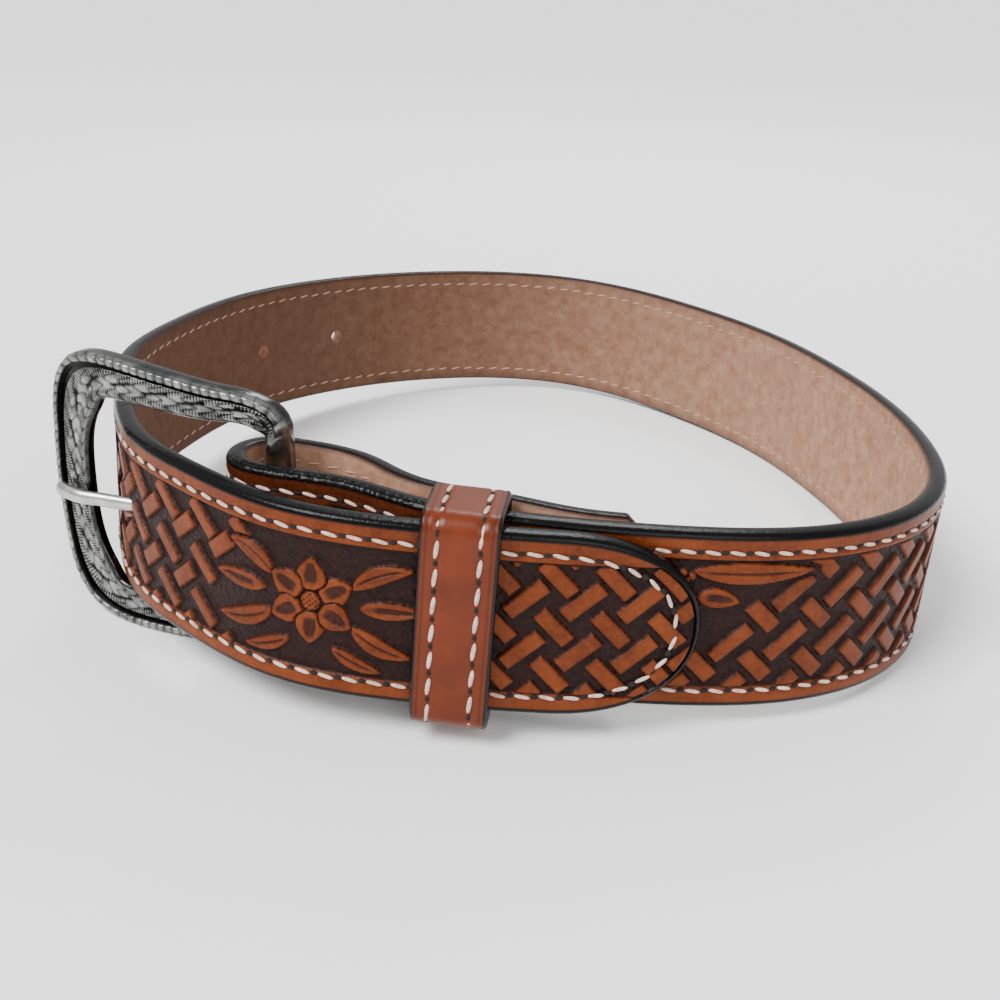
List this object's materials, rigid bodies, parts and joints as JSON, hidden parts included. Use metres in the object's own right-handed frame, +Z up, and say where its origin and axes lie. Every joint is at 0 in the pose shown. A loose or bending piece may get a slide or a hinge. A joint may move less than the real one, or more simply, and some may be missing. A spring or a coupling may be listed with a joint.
{
  "type": "western tooled belt",
  "caption": "Buckled western belt of thick tooled leather standing in its worn loop, with an engraved metal frame buckle, tongue and stitched leather keeper.",
  "frame": {"origin": "middle of the belt's box in plan, on the surface it stands on", "axes": "+Z up, the buckle at the front left seen from -Y, the waist inside the loop along Z"},
  "size_m": [0.1688, 0.1938, 0.0535],
  "materials": {
    "tooled_leather": "tooled and stitched, with black edges",
    "keeper_leather": "smooth, oiled and stitched",
    "antiqued_silver": "antiqued engraved silver plate",
    "nickel": "bright nickel plate"
  },
  "bodies": {
    "root": {"strap": "tooled_leather", "buckle_frame": "antiqued_silver", "tongue": "nickel", "keeper": "keeper_leather", "tab_rivet_lower": "nickel", "tab_rivet_upper": "nickel"}
  },
  "joints": []
}
